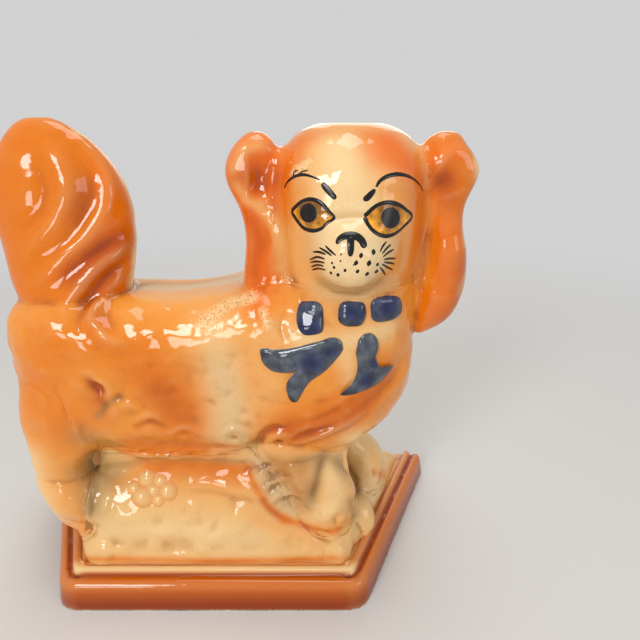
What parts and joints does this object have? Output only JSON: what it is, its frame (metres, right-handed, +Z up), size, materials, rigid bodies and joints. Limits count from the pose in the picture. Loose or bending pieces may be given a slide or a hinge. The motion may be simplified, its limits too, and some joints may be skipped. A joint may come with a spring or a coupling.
{
  "type": "staffordshire dog figure",
  "caption": "Glazed earthenware figure of a standing long-haired toy dog with turned head, raised plume tail and blue ribbon collar, on a rocky mound and stepped plinth.",
  "frame": {"origin": "centre of the underside of the plinth's foot", "axes": "+Z up; +X along the plinth, the way the dog's body faces; -Y the decorated front, where the face looks"},
  "size_m": [0.2652, 0.113, 0.2425],
  "materials": {
    "orange_glaze": "gloss",
    "cream_glaze": "gloss",
    "cobalt_glaze": "gloss",
    "bare_clay": "matte"
  },
  "bodies": {
    "root": {"plinth": "orange_glaze", "torso": "orange_glaze", "head": "orange_glaze", "right_ear": "orange_glaze", "left_ear": "orange_glaze", "tail": "orange_glaze", "right_foreleg": "orange_glaze", "left_foreleg": "orange_glaze", "right_hindleg": "orange_glaze", "left_hindleg": "orange_glaze", "mound": "cream_glaze", "ground_rosette": "cream_glaze", "collar_stud_1": "cobalt_glaze", "collar_stud_2": "cobalt_glaze", "collar_stud_3": "cobalt_glaze", "right_ribbon_end": "cobalt_glaze", "left_ribbon_end": "cobalt_glaze", "base_slab": "bare_clay"}
  },
  "joints": []
}
